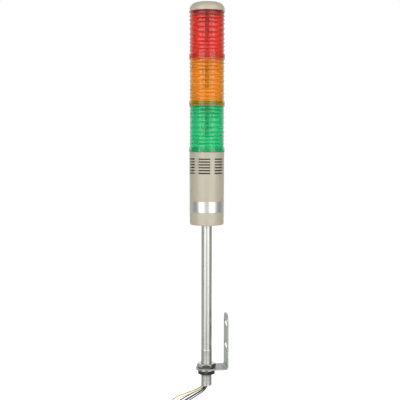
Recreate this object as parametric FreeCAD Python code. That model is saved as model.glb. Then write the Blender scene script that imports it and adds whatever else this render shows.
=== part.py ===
import FreeCAD, Part
import math
import os

from FreeCAD import Vector

# Three-tier stack light with a buzzer, on a threaded tube mast clamped in an L bracket.
# Millimetres, +Z up. The origin is on the bracket's wall face, midway between its two slots,
# and +X points into the wall. The mast stands on the room side of the wall, along Z.

# ---- mounting bracket: one folded steel strap ----
wall_offset = 30.0          # wall face to mast axis
strap_width = 30.0
strap_thickness = 2.0
bend_radius = 2.0           # inside of the fold
leg_height = 80.0           # underside of the shelf to the top of the leg
leg_corner_radius = 10.0
slot_middle_height = 49.0   # underside of the shelf to midway between the slots
slot_pitch = 32.5
slot_length = 22.0
slot_width = 9.0
mast_hole_clearance = 0.25  # radial

# ---- mast: steel tube, thread rolled on the lower end ----
mast_diameter = 15.2
mast_bore = 12.4
thread_diameter = 15.8
thread_length = 52.0
tail_length = 25.0          # mast below the shelf
mast_reach = 210.5          # underside of the shelf to the underside of the head
mast_entry = 21.0           # mast inside the head
rim_chamfer = 0.5

# ---- nuts and washer on the mast ----
nut_across_flats = 24.0
nut_height = 6.0
nut_bevel = 0.9
washer_diameter = 30.0
washer_thickness = 1.5
lock_nut_across_flats = 22.0
lock_nut_height = 5.0

# ---- stacking joint: a spigot on each module stands in the skirt of the one above ----
socket_radius = 23.4
joint_clearance = 0.1       # radial
spigot_wall = 1.6
spigot_height = 6.0
floor_thickness = 1.6       # disc held between a spigot and the ledge above it

# ---- head ----
module_height = 66.0        # buzzer housing and each lens
housing_radius = 24.85
housing_foot_radius = 24.6
shell_wall = 2.4
base_height = 38.0
base_foot_radius = 24.4
base_floor = 3.0
base_edge_radius = 1.5
hub_radius = 11.0
hub_height = 12.0
facing_deg = -98.3          # compass of the head's front, from +X about +Z

# ---- sound slots of the buzzer housing ----
grille_rows = 6
grille_row_pitch = 4.0
grille_first_row = 36.3
grille_slot_height = 1.8
grille_columns = 6
grille_column_pitch_deg = 56.0
grille_slot_deg = 41.0
grille_first_column_deg = -65.4   # from the head's front

# ---- lenses ----
rib_radius = 25.4
groove_depth = 0.9
skirt_height = 6.7
middle_pitch = 7.15         # the three wide grooves at the lamp's middle
middle_grooves = 3
lower_grooves = 4
upper_grooves = 3
top_land = 0.95

# ---- lamp inside each lens ----
board_width = 17.0
board_height = 45.5
board_thickness = 1.6
board_seat_depth = 3.0
board_clearance = 0.1
post_width = 20.0
post_depth = 8.0
post_height = 14.4
lead_hole_radius = 3.2
lead_hole_offset = 13.0
led_size = 5.0
led_thickness = 1.6
led_rows = 6
led_pitch = 7.0
led_first_height = 5.0      # above the post

# ---- buzzer ----
buzzer_radius = 15.0
buzzer_height = 14.0
buzzer_edge = 1.2
buzzer_port_radius = 2.0
buzzer_port_depth = 3.0

# ---- cap ----
cap_radius = 25.0
cap_height = 14.4
cap_rim_height = 4.2
cap_shoulder_radius = 17.0
cap_crown_rise = 2.0        # middle above the shoulder
cap_bulge = 1.6             # shoulder arc outside its chord
cap_wall = 2.0

# ---- foil label round the base ----
label_foot = 18.6           # above the underside of the base
label_height = 15.5
label_length = 75.0
label_thickness = 0.15
label_glue = 0.05           # between the foil and the base
label_start_deg = -55.0     # from the head's front

# ---- leads: six thin wires ----
wire_diameter = 1.8
coil_outer_radius = 15.3    # centre line of the outermost turn
coil_inner_radius = 6.3
coil_wire_pitch = 1.9
coil_skin = 0.2             # room between the turns and the coil's outer shape
coil_side = 62.0            # mast axis to where the wires run down into the coil
coil_entry_drop = 58.0      # mast end to where the coil's shape starts
coil_centre_drop = 72.0
tie_width = 2.5
tie_thickness = 0.9
tie_head = 3.6

# Each wire's route from the mast's end to the coil: (sideways, away from the front, height)
# from the middle of the mast's lower end, seen from the head's front.
wire_routes = {
    "yellow_wire": [(-1.8, 1.0, 10.0), (-1.8, 1.0, 4.6), (-7.6, 1.1, -3.6), (-25.0, 2.2, -9.0),
                    (-47.0, 3.8, -18.6), (-62.0, 4.75, -38.0), (-62.0, 4.75, -58.0)],
    "white_wire": [(-1.1, -1.0, 10.0), (-1.1, -1.0, 4.3), (-6.6, -1.0, -4.2), (-22.6, -1.0, -10.8),
                   (-43.0, -1.0, -21.4), (-62.0, -0.95, -40.0), (-62.0, -0.95, -58.0)],
    "red_wire": [(0.2, 1.0, 10.0), (0.2, 1.0, 4.0), (-5.0, 1.1, -5.0), (-19.0, 1.7, -12.2),
                 (-38.4, 2.5, -23.4), (-62.0, 2.85, -40.6), (-62.0, 2.85, -58.0)],
    "black_wire": [(0.9, -1.0, 10.0), (0.9, -1.0, 3.7), (-3.9, -1.1, -5.8), (-16.8, -1.8, -13.2),
                   (-35.8, -2.6, -24.6), (-62.0, -2.85, -41.4), (-62.0, -2.85, -58.0)],
    "grey_wire": [(2.2, 1.0, 10.0), (2.2, 1.0, 3.4), (-2.4, 1.0, -6.4), (-15.0, 1.0, -13.4),
                  (-34.0, 1.0, -24.6), (-62.0, 0.95, -41.6), (-62.0, 0.95, -58.0)],
    "green_wire": [(2.9, -1.0, 10.0), (2.9, -1.0, 3.1), (-1.4, -1.4, -7.2), (-12.4, -2.6, -14.6),
                   (-33.0, -4.1, -27.6), (-62.0, -4.75, -42.0), (-62.0, -4.75, -58.0)],
}

# ---- sizes that follow from the ones above ----
shelf_bottom = -slot_middle_height
shelf_top = shelf_bottom + strap_thickness
mast_bottom = shelf_bottom - tail_length
head_bottom = shelf_bottom + mast_reach
mast_top = head_bottom + mast_entry
base_top = head_bottom + base_height
green_bottom = base_top + module_height
amber_bottom = green_bottom + module_height
red_bottom = amber_bottom + module_height
cap_bottom = red_bottom + module_height
mast_radius = mast_diameter / 2
thread_radius = thread_diameter / 2
spigot_radius = socket_radius - joint_clearance
spigot_bore = spigot_radius - spigot_wall
socket_depth = spigot_height + floor_thickness
lens_bore = rib_radius - groove_depth - shell_wall
housing_bore = housing_foot_radius - shell_wall
lamp_floor_top = spigot_height + floor_thickness
post_top = lamp_floor_top + post_height


def polar(radius, degrees):
    """A point on a circle about the mast axis."""
    angle = math.radians(degrees)
    return Vector(radius * math.cos(angle), radius * math.sin(angle), 0)


def cylinder(radius, height, bottom):
    return Part.makeCylinder(radius, height, Vector(0, 0, bottom))


def ring(outer_radius, inner_radius, height, bottom):
    return cylinder(outer_radius, height, bottom).cut(cylinder(inner_radius, height, bottom))


def block(width, depth, height, bottom):
    """A box centred on the Z axis, standing at a height."""
    return Part.makeBox(width, depth, height, Vector(-width / 2, -depth / 2, bottom))


def turned(shape, degrees):
    """A copy turned about the mast axis."""
    copy = shape.copy()
    copy.rotate(Vector(0, 0, 0), Vector(0, 0, 1), degrees)
    return copy


def on_mast(shape, height):
    """A copy moved from its own axis to the mast axis, at a height."""
    copy = shape.copy()
    copy.translate(Vector(-wall_offset, 0, height))
    return copy


def outline(points):
    """Straight edges through the points, in the XZ plane."""
    ends = [Vector(x, 0, z) for x, z in points]
    return [Part.LineSegment(a, b).toShape() for a, b in zip(ends, ends[1:])]


def arc(start, middle, end):
    """One arc through three points of the XZ plane."""
    ends = [Vector(x, 0, z) for x, z in (start, middle, end)]
    return Part.Arc(*ends).toShape()


def revolved(edges):
    """A closed outline in the XZ plane, turned once round the Z axis."""
    face = Part.Face(Part.Wire(edges))
    return face.revolve(Vector(0, 0, 0), Vector(0, 0, 1), 360)


def hexagon_nut(across_flats, height, bevel, bore_radius, turn_deg):
    """A hexagon nut with its corners turned down at both ends."""
    corner = across_flats / math.sqrt(3)
    corners = [polar(corner, turn_deg + 60 * i) for i in range(7)]
    prism = Part.Face(Part.makePolygon(corners)).extrude(Vector(0, 0, height))
    flat = across_flats / 2
    bevel_drop = bevel * 0.6
    rounding = revolved(outline([(0, 0), (flat, 0), (corner, bevel_drop), (corner, height - bevel_drop),
                                 (flat, height), (0, height), (0, 0)]))
    return prism.common(rounding).cut(cylinder(bore_radius, height, 0))


# ---- bracket ----
def strap_profile():
    """The folded strap's edge view: shelf, fold and leg, extruded across its width."""
    outer = bend_radius + strap_thickness
    lean = math.sqrt(0.5)
    top = shelf_bottom + leg_height
    tip = -wall_offset - strap_width / 2
    inner_corner = (-outer + bend_radius * lean, shelf_bottom + outer - bend_radius * lean)
    outer_corner = (-outer + outer * lean, shelf_bottom + outer - outer * lean)
    edges = outline([(-outer, shelf_bottom), (tip, shelf_bottom), (tip, shelf_top), (-outer, shelf_top)])
    edges.append(arc((-outer, shelf_top), inner_corner, (-strap_thickness, shelf_bottom + outer)))
    edges += outline([(-strap_thickness, shelf_bottom + outer), (-strap_thickness, top), (0, top),
                      (0, shelf_bottom + outer)])
    edges.append(arc((0, shelf_bottom + outer), outer_corner, (-outer, shelf_bottom)))
    face = Part.Face(Part.Wire(edges))
    face.translate(Vector(0, -strap_width / 2, 0))
    return face.extrude(Vector(0, strap_width, 0))


def strap_end_trim():
    """Everything outside the shelf's round end."""
    half = strap_width / 2
    trim = Part.makeBox(half, strap_width, strap_thickness, Vector(-wall_offset - half, -half, shelf_bottom))
    return trim.cut(Part.makeCylinder(half, strap_thickness, Vector(-wall_offset, 0, shelf_bottom)))


def slot_cutter(height):
    """A level slot through the leg."""
    radius = slot_width / 2
    straight = slot_length / 2 - radius
    through = Vector(-strap_thickness, 0, 0)
    cutter = Part.makeBox(strap_thickness, 2 * straight, slot_width,
                          Vector(-strap_thickness, -straight, height - radius))
    for side in (-straight, straight):
        cutter = cutter.fuse(Part.makeCylinder(radius, strap_thickness, Vector(0, side, height), through))
    return cutter


def mounting_bracket():
    strap = strap_profile().cut(strap_end_trim())
    hole_radius = thread_radius + mast_hole_clearance
    strap = strap.cut(Part.makeCylinder(hole_radius, strap_thickness, Vector(-wall_offset, 0, shelf_bottom)))
    for height in (-slot_pitch / 2, slot_pitch / 2):
        strap = strap.cut(slot_cutter(height))
    top = shelf_bottom + leg_height
    corners = [edge for edge in strap.Edges
               if abs(edge.BoundBox.ZMax - top) < 1e-6 and edge.BoundBox.XLength > strap_thickness - 1e-6
               and edge.BoundBox.YLength < 1e-6]
    return strap.makeFillet(leg_corner_radius, corners)


# ---- mast ----
def mast_tube():
    bore_radius = mast_bore / 2
    thread_top = mast_bottom + thread_length
    tube = revolved(outline([
        (bore_radius, mast_bottom + rim_chamfer), (bore_radius + rim_chamfer, mast_bottom),
        (thread_radius - rim_chamfer, mast_bottom), (thread_radius, mast_bottom + rim_chamfer),
        (thread_radius, thread_top), (mast_radius, thread_top + rim_chamfer),
        (mast_radius, mast_top), (bore_radius, mast_top), (bore_radius, mast_bottom + rim_chamfer)]))
    return on_mast(tube, 0)


def upper_nut():
    nut = hexagon_nut(nut_across_flats, nut_height, nut_bevel, thread_radius, facing_deg + 28)
    return on_mast(nut, shelf_top)


def lower_nut():
    nut = hexagon_nut(nut_across_flats, nut_height, nut_bevel, thread_radius, facing_deg)
    return on_mast(nut, shelf_bottom - washer_thickness - nut_height)


def flat_washer():
    hole_radius = thread_radius + mast_hole_clearance
    return on_mast(ring(washer_diameter / 2, hole_radius, washer_thickness, 0), shelf_bottom - washer_thickness)


def lock_nut():
    nut = hexagon_nut(lock_nut_across_flats, lock_nut_height, nut_bevel, mast_radius, facing_deg)
    return on_mast(nut, head_bottom + base_floor + hub_height)


# ---- stacked shells ----
def spigot(bottom):
    """The upstanding collar on top of a module."""
    return ring(spigot_radius, spigot_bore, spigot_height, bottom)


def base_housing():
    """Moulded cup with a threaded hub for the mast and a spigot on top."""
    foot_bore = base_foot_radius - shell_wall
    shell = revolved(outline([
        (mast_radius, 0), (base_foot_radius, 0), (housing_foot_radius, base_height),
        (housing_bore, base_height), (foot_bore, base_floor), (hub_radius, base_floor),
        (hub_radius, base_floor + hub_height), (mast_radius, base_floor + hub_height), (mast_radius, 0)]))
    foot = [edge for edge in shell.Edges
            if abs(edge.BoundBox.ZMax) < 1e-6 and edge.BoundBox.XLength > base_foot_radius]
    shell = shell.makeFillet(base_edge_radius, foot)
    return on_mast(shell.fuse(spigot(base_height)).removeSplitter(), head_bottom)


def grille_cutter(start_deg, row_height):
    """One sound slot: a sector of a flat ring through the wall."""
    outer = housing_radius + 1
    bottom = row_height - grille_slot_height / 2
    sector = Part.makeCylinder(outer, grille_slot_height, Vector(0, 0, bottom), Vector(0, 0, 1), grille_slot_deg)
    return turned(sector.cut(cylinder(housing_bore - 1, grille_slot_height, bottom)), start_deg)


def buzzer_housing():
    """Plain moulded shell with columns of level sound slots."""
    shell = revolved(outline([
        (socket_radius, 0), (housing_foot_radius, 0), (housing_radius, module_height),
        (housing_bore, module_height), (housing_bore, socket_depth), (socket_radius, socket_depth),
        (socket_radius, 0)]))
    cutters = []
    for column in range(grille_columns):
        middle = facing_deg + grille_first_column_deg + column * grille_column_pitch_deg
        for row in range(grille_rows):
            row_height = grille_first_row + row * grille_row_pitch
            cutters.append(grille_cutter(middle - grille_slot_deg / 2, row_height))
    shell = shell.cut(Part.makeCompound(cutters))
    return on_mast(shell.fuse(spigot(module_height)).removeSplitter(), base_top)


def rib_heights():
    """Heights of the rib tips above the skirt's lower edge."""
    spare = module_height - top_land - skirt_height - middle_grooves * middle_pitch
    outer_pitch = spare / (lower_grooves + upper_grooves)
    pitches = [outer_pitch] * lower_grooves + [middle_pitch] * middle_grooves + [outer_pitch] * upper_grooves
    heights = [skirt_height]
    for pitch in pitches:
        heights.append(heights[-1] + pitch)
    return heights


def lens():
    """Stepped lens shell: a plain skirt, sharp level ribs with grooves between, and a spigot."""
    groove_radius = rib_radius - groove_depth
    heights = rib_heights()
    points = [(socket_radius, 0), (rib_radius, 0), (rib_radius, skirt_height)]
    for low, high in zip(heights, heights[1:]):
        points.append((groove_radius, (low + high) / 2))
        points.append((rib_radius, high))
    points += [(rib_radius, module_height), (lens_bore, module_height), (lens_bore, socket_depth),
               (socket_radius, socket_depth), (socket_radius, 0)]
    return revolved(outline(points)).fuse(spigot(module_height)).removeSplitter()


def top_cap():
    """Hollow cap: short rim, rounded shoulder and a shallow domed crown."""
    shoulder_height = cap_height - cap_crown_rise
    bulge = (cap_radius + cap_shoulder_radius) / 2 + cap_bulge
    bulge_height = (cap_rim_height + shoulder_height) / 2 + cap_bulge / 2
    dome_radius = (cap_shoulder_radius ** 2 + cap_crown_rise ** 2) / (2 * cap_crown_rise)
    half_angle = math.asin(cap_shoulder_radius / dome_radius) / 2
    dome_middle = (dome_radius * math.sin(half_angle),
                   cap_height - dome_radius * (1 - math.cos(half_angle)))
    roof = shoulder_height - cap_wall
    inner_rim = spigot_height + joint_clearance
    edges = outline([(socket_radius, 0), (cap_radius, 0), (cap_radius, cap_rim_height)])
    edges.append(arc((cap_radius, cap_rim_height), (bulge, bulge_height), (cap_shoulder_radius, shoulder_height)))
    edges.append(arc((cap_shoulder_radius, shoulder_height), dome_middle, (0, cap_height)))
    edges += outline([(0, cap_height), (0, roof), (cap_shoulder_radius - cap_wall, roof),
                      (spigot_bore, inner_rim), (socket_radius, inner_rim), (socket_radius, 0)])
    return on_mast(revolved(edges), cap_bottom)


def data_label():
    """Blank foil wrapped part of the way round the base."""
    slope = (housing_foot_radius - base_foot_radius) / base_height
    low = base_foot_radius + slope * label_foot + label_glue
    high = low + slope * label_height
    sheath = revolved(outline([
        (low, label_foot), (low + label_thickness, label_foot),
        (high + label_thickness, label_foot + label_height), (high, label_foot + label_height),
        (low, label_foot)]))
    span_deg = math.degrees(label_length / low)
    sector = Part.makeCylinder(2 * cap_radius, label_height, Vector(0, 0, label_foot), Vector(0, 0, 1), span_deg)
    return on_mast(sheath.common(turned(sector, facing_deg + label_start_deg)), head_bottom)


# ---- lamps ----
def lamp_carrier():
    """White moulded floor with a post that holds the lamp board upright."""
    floor = cylinder(socket_radius - joint_clearance, floor_thickness, spigot_height)
    floor = floor.cut(Part.makeCylinder(lead_hole_radius, floor_thickness, Vector(0, lead_hole_offset, spigot_height)))
    post = block(post_width, post_depth, post_height, lamp_floor_top)
    seat = block(board_width + 2 * board_clearance, board_thickness + 2 * board_clearance,
                 board_seat_depth, post_top - board_seat_depth)
    return floor.fuse(post.cut(seat)).removeSplitter()


def lamp_board():
    return block(board_width, board_thickness, board_height, post_top - board_seat_depth)


def lamp_leds():
    """A column of square chips on each face of the board."""
    chips = []
    for side in (-1, 1):
        middle = side * (board_thickness + led_thickness) / 2
        for row in range(led_rows):
            bottom = post_top + led_first_height + row * led_pitch - led_size / 2
            chip = block(led_size, led_thickness, led_size, bottom)
            chip.translate(Vector(0, middle, 0))
            chips.append(chip)
    return Part.makeCompound(chips)


# ---- buzzer ----
def buzzer_board():
    """Round board on the base's spigot, which carries the buzzer and takes the leads."""
    return on_mast(cylinder(socket_radius - joint_clearance, floor_thickness, spigot_height), base_top)


def buzzer():
    """Sounder capsule with a port in its top."""
    capsule = revolved(outline([
        (0, 0), (buzzer_radius, 0), (buzzer_radius, buzzer_height - buzzer_edge),
        (buzzer_radius - buzzer_edge, buzzer_height), (buzzer_port_radius, buzzer_height),
        (buzzer_port_radius, buzzer_height - buzzer_port_depth), (0, buzzer_height - buzzer_port_depth),
        (0, 0)]))
    return on_mast(capsule, base_top + lamp_floor_top)


# ---- leads ----
def from_front(sideways, away, height):
    """A point given as the head's front shows it, from the middle of the mast's lower end."""
    return turned_point(sideways, away) + Vector(-wall_offset, 0, mast_bottom + height)


def turned_point(sideways, away):
    angle = math.radians(facing_deg + 90)
    return Vector(sideways * math.cos(angle) - away * math.sin(angle),
                  sideways * math.sin(angle) + away * math.cos(angle), 0)


def inner_leads():
    """The six wires where they run straight up the mast to the buzzer board."""
    board_underside = base_top + spigot_height
    leads = []
    for route in wire_routes.values():
        start = from_front(*route[0])
        leads.append(Part.makeCylinder(wire_diameter / 2, board_underside - start.z, start))
    return Part.makeCompound(leads)


def round_route(points):
    """Straight runs joined by tangent arcs, each as large as its two runs allow."""
    edges = []
    radii = []
    start = points[0]
    for before, corner, after in zip(points, points[1:], points[2:]):
        back = before - corner
        forward = after - corner
        shorter = min(back.Length, forward.Length)
        turn = math.pi - back.getAngle(forward)
        reach = 0.45 * shorter
        radius = reach / math.tan(turn / 2)
        back.normalize()
        forward.normalize()
        arc_start = corner + back * reach
        arc_end = corner + forward * reach
        inward = (back + forward).normalize()
        arc_middle = corner + inward * (radius / math.cos(turn / 2) - radius)
        edges.append(Part.LineSegment(start, arc_start).toShape())
        edges.append(Part.Arc(arc_start, arc_middle, arc_end).toShape())
        radii.append(radius)
        start = arc_end
    edges.append(Part.LineSegment(start, points[-1]).toShape())
    return Part.Wire(edges), radii


def wire_tube(name):
    """A wire as a round tube along its route."""
    points = [from_front(*point) for point in wire_routes[name]]
    path, radii = round_route(points)
    section = Part.Wire(Part.Circle(points[0], points[1] - points[0], wire_diameter / 2).toShape())
    tube = path.makePipeShell([section], True, False)
    swept = math.pi * wire_diameter ** 2 / 4 * path.Length
    print(name, "length", round(path.Length, 1), "radii", [round(radius, 1) for radius in radii],
          "volume ratio", round(tube.Volume / swept, 4))
    return tube


def coil_half_width():
    return len(wire_routes) * coil_wire_pitch / 2 + coil_skin


def coil_place(shape):
    """A copy moved from its own axis, along Y, to the coil's middle, square to the head's front."""
    centre = from_front(coil_outer_radius - coil_side, 0, -coil_centre_drop)
    copy = shape.copy()
    copy.rotate(Vector(0, 0, 0), Vector(0, 0, 1), facing_deg + 90)
    copy.translate(centre)
    return copy


def coil_ring(outer_radius, inner_radius, half_width):
    across = Vector(0, 2 * half_width, 0)
    start = Vector(0, -half_width, 0)
    solid = Part.makeCylinder(outer_radius, across.Length, start, across)
    return solid.cut(Part.makeCylinder(inner_radius, across.Length, start, across))


def wire_coil():
    """Outer shape of the spare wire: a ring, and the straight stretch that runs down into it."""
    margin = wire_diameter / 2 + coil_skin
    half_width = coil_half_width()
    solid = coil_ring(coil_outer_radius + margin, coil_inner_radius - margin, half_width)
    entry = Part.makeBox(2 * margin, 2 * half_width, coil_centre_drop - coil_entry_drop,
                         Vector(-coil_outer_radius - margin, -half_width, 0))
    return coil_place(solid.fuse(entry).removeSplitter())


def wire_tie():
    """A strap round the coil's section, with its lock on the outside."""
    margin = wire_diameter / 2 + coil_skin
    outer_radius = coil_outer_radius + margin
    inner_radius = coil_inner_radius - margin
    half_width = coil_half_width()
    band = coil_ring(outer_radius + tie_thickness, inner_radius - tie_thickness, half_width + tie_thickness)
    slab = Part.makeBox(outer_radius + tie_thickness, 4 * half_width, tie_width,
                        Vector(0, -2 * half_width, -tie_width / 2))
    lock = Part.makeBox(tie_head, tie_head, tie_head,
                        Vector(outer_radius, -tie_head / 2, -tie_head / 2))
    body = band.common(slab).fuse(lock)
    return coil_place(body.cut(coil_ring(outer_radius, inner_radius, half_width)).removeSplitter())


def main():
    os.makedirs("parts", exist_ok=True)
    nodes = {
        "mounting_bracket": mounting_bracket(),
        "mast_tube": mast_tube(),
        "upper_nut": upper_nut(),
        "lower_nut": lower_nut(),
        "flat_washer": flat_washer(),
        "lock_nut": lock_nut(),
        "base_housing": base_housing(),
        "data_label": data_label(),
        "buzzer_housing": buzzer_housing(),
        "buzzer_board": buzzer_board(),
        "buzzer": buzzer(),
        "top_cap": top_cap(),
        "inner_leads": inner_leads(),
        "wire_coil": wire_coil(),
        "wire_tie": wire_tie(),
    }
    for colour, bottom in (("green", green_bottom), ("amber", amber_bottom), ("red", red_bottom)):
        nodes[colour + "_lens"] = on_mast(lens(), bottom)
        for name, make in (("carrier", lamp_carrier), ("led_board", lamp_board), ("leds", lamp_leds)):
            nodes[colour + "_" + name] = on_mast(turned(make(), facing_deg + 90), bottom)
    for name in wire_routes:
        nodes[name] = wire_tube(name)
    for name, shape in nodes.items():
        shape.exportStep(os.path.join("parts", name + ".step"))
        print(name, "solids", len(shape.Solids), "valid", shape.isValid(), "volume", round(shape.Volume, 1))


main()
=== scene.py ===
"""Three-tier stack light with a buzzer, on a threaded steel mast clamped in an L bracket.

Metres, +Z up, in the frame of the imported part: the origin is on the bracket's wall face and +X points
into the wall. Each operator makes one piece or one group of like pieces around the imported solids.
"""
import math

import bmesh
import bpy
import numpy as np
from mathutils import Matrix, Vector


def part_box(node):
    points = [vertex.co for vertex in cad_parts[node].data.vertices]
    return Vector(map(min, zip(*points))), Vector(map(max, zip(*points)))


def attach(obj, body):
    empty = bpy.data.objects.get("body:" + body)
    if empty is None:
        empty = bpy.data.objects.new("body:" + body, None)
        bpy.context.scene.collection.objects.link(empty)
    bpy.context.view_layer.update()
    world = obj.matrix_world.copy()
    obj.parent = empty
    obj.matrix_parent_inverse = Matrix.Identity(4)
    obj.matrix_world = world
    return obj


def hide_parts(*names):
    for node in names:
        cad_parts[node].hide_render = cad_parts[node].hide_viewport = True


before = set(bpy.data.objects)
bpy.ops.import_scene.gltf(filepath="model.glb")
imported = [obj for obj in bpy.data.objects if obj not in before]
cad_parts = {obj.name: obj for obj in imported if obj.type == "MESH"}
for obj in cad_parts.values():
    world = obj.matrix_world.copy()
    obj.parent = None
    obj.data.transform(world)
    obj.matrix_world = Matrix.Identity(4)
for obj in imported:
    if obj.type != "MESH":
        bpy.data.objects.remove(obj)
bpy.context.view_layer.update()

bl_info = {
    "name": "Stack light",
    "version": (1, 0, 0),
    "blender": (4, 5, 0),
    "location": "View3D > Sidebar > Stack Light",
    "description": "Builds a three-tier stack light with a buzzer, its mast and its bracket",
    "category": "Add Mesh",
}

MM = 0.001
FACING = math.radians(-8.3)          # turn of the head's front about the mast
FRONT = FACING - math.pi / 2         # bearing of the head's front
TIERS = ("green", "amber", "red")


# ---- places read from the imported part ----
def lowest(node):
    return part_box(node)[0]


def highest(node):
    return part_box(node)[1]


def half_width(node):
    """Half of a node's smaller level size, which is a round piece's radius."""
    size = highest(node) - lowest(node)
    return min(size.x, size.y) / 2


AXIS = np.array([*((lowest("mast_tube") + highest("mast_tube")) / 2).xy, 0.0])
MAST_END = lowest("mast_tube").z
MAST_TOP = highest("mast_tube").z
MODULE_HEIGHT = lowest("amber_lens").z - lowest("green_lens").z
SPIGOT_HEIGHT = highest("green_lens").z - lowest("amber_lens").z


# ---- sizes and colours that a user would change ----
def millimetres(name, description, default):
    """A length property whose default is given in millimetres."""
    return bpy.props.FloatProperty(name=name, description=description, default=default * MM, min=0,
                                   precision=5, subtype="DISTANCE", unit="LENGTH")


def linear(code):
    """An sRGB hex colour as linear red, green, blue and alpha."""
    channels = np.array([int(code[i:i + 2], 16) for i in (0, 2, 4)]) / 255
    curve = ((channels + 0.055) / 1.055) ** 2.4
    return (*np.where(channels <= 0.04045, channels / 12.92, curve).tolist(), 1.0)


def paint(name, description, code):
    """A colour property whose default is an sRGB hex value."""
    return bpy.props.FloatVectorProperty(name=name, description=description, default=linear(code), size=4,
                                         min=0, max=1, subtype="COLOR")


class StackLightSizes(bpy.types.PropertyGroup):
    thread_pitch: millimetres("Thread pitch", "Height of one turn of the mast's thread", 1.0)
    thread_depth: millimetres("Thread depth", "Crest to root of the mast's thread", 0.3)
    thread_length: millimetres("Thread length", "Threaded end of the mast", 52)
    groove_depth: millimetres("Groove depth", "Depth of the grooves between a lens's ribs", 1.25)
    rib_roundness: millimetres("Rib roundness", "Half width of a rib outside a lens", 0.55)
    flute_depth: millimetres("Flute depth", "Depth of the upright flutes inside a lens", 0.22)
    flutes: bpy.props.IntProperty(name="Flutes", description="Upright flutes inside a lens", default=60, min=3)
    edge_roll: millimetres("Edge roll", "Width of the rolled edges of moulded and pressed pieces", 0.35)
    wire_diameter: millimetres("Wire diameter", "Outside of each lead's insulation", 1.8)
    coil_pitch: millimetres("Coil pitch", "Distance between the turns of the spare wire", 1.95)


class StackLightColours(bpy.types.PropertyGroup):
    cap: paint("Cap", "Moulded top cap", "C5BCA6")
    housing: paint("Housing", "Moulded buzzer housing and base", "BCB5A3")
    red_lens: paint("Red lens", "Tinted lens of the top lamp", "F8695A")
    amber_lens: paint("Amber lens", "Tinted lens of the middle lamp", "FFBE26")
    green_lens: paint("Green lens", "Tinted lens of the bottom lamp", "4EE4AE")
    red_led: paint("Red LED", "Epoxy over the chip", "2A2620")
    amber_led: paint("Amber LED", "Epoxy over the chip", "8C7038")
    green_led: paint("Green LED", "Epoxy over the chip", "4C7460")
    white_moulding: paint("White moulding", "Lamp carriers", "F8F7F2")
    board: paint("Board", "Solder mask of the lamp boards", "F3F4EF")
    mast: paint("Mast", "Polished steel of the mast", "BEBEB9")
    nut: paint("Nut", "Bright plating of the nuts and the washer", "E2E2DE")
    # the lower nut's colour is the same nickel plating painted darker: painted shade for the nut under the
    # bracket
    lower_nut: paint("Lower nut", "Dull plating of the nut under the bracket", "80807E")
    bracket: paint("Bracket", "Zinc plating of the bracket", "AEB1AB")
    foil: paint("Foil", "Blank foil label", "C6C6C2")
    yellow_wire: paint("Yellow wire", "Insulation", "DCC074")
    white_wire: paint("White wire", "Insulation", "E9EACB")
    red_wire: paint("Red wire", "Insulation", "5E2A2C")
    black_wire: paint("Black wire", "Insulation", "26201F")
    grey_wire: paint("Grey wire", "Insulation", "8F9186")
    green_wire: paint("Green wire", "Insulation", "3C5442")


def sizes():
    return bpy.context.scene.stack_light_sizes


def colours():
    return bpy.context.scene.stack_light_colours


# ---- surfaces worked out on a grid ----
CORNER_POINTS = 5                    # on each corner of a rounded outline
TURN_STEPS = 96                      # points round the mast and the gauze
DOUBLED = 0.002 * MM                 # points nearer than this are one


def grid_quads(rows, columns, wrap_rows=True):
    """Corner numbers of the faces between the points of a grid whose columns go all the way round."""
    index = np.arange(rows * columns).reshape(rows, columns)
    index = np.hstack([index, index[:, :1]])
    if wrap_rows:
        index = np.vstack([index, index[:1]])
    corners = [index[:-1, :-1], index[:-1, 1:], index[1:, 1:], index[1:, :-1]]
    return np.stack(corners, axis=-1).reshape(-1, 4)


def filled_mesh(name, points, quads):
    """A smooth mesh from arrays of points and four-cornered faces, with its doubled points merged."""
    mesh = bpy.data.meshes.new(name)
    mesh.vertices.add(len(points))
    mesh.vertices.foreach_set("co", np.ascontiguousarray(points, np.float32).ravel())
    mesh.loops.add(quads.size)
    mesh.loops.foreach_set("vertex_index", quads.ravel().astype(np.int32))
    mesh.polygons.add(len(quads))
    mesh.polygons.foreach_set("loop_start", np.arange(0, quads.size, 4, dtype=np.int32))
    mesh.update(calc_edges=True)
    mesh.validate()
    work = bmesh.new()
    work.from_mesh(mesh)
    bmesh.ops.remove_doubles(work, verts=work.verts, dist=DOUBLED)
    return finished(mesh, work)


def finished(mesh, work):
    """The mesh with what was worked on put back, all its faces smooth."""
    work.to_mesh(mesh)
    work.free()
    mesh.polygons.foreach_set("use_smooth", np.ones(len(mesh.polygons), bool))
    return mesh


def rounded(corners, radius):
    """A closed outline with soft corners. At each corner a curve (1-t)^2 a + 2t(1-t) c + t^2 b leaves the
    outline a radius before the corner c, at a, and meets it again a radius after, at b. The radius may be
    one number for each corner, and takes at most 0.45 of the shorter side."""
    corner = np.array(corners, float)
    back = np.roll(corner, 1, axis=0) - corner
    ahead = np.roll(corner, -1, axis=0) - corner
    back_length = np.linalg.norm(back, axis=1, keepdims=True)
    ahead_length = np.linalg.norm(ahead, axis=1, keepdims=True)
    wanted = np.broadcast_to(np.asarray(radius, float), len(corner))[:, None]
    reach = np.minimum(wanted, 0.45 * np.minimum(back_length, ahead_length))
    start = (corner + back / back_length * reach)[:, None]
    end = (corner + ahead / ahead_length * reach)[:, None]
    t = np.linspace(0, 1, CORNER_POINTS)[None, :, None]
    return ((1 - t) ** 2 * start + 2 * t * (1 - t) * corner[:, None] + t ** 2 * end).reshape(-1, 2)


def whole_turn(steps):
    """Angles evenly spaced all the way round."""
    return np.linspace(0, 2 * math.pi, steps, endpoint=False)


def round_mast(radius, angle, height, bottom):
    """Points (radius cos a, radius sin a, height) about the mast's axis, at heights above a bottom."""
    points = np.stack([radius * np.cos(angle), radius * np.sin(angle), height], axis=-1).reshape(-1, 3)
    return points + AXIS + np.array([0, 0, bottom])


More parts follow.
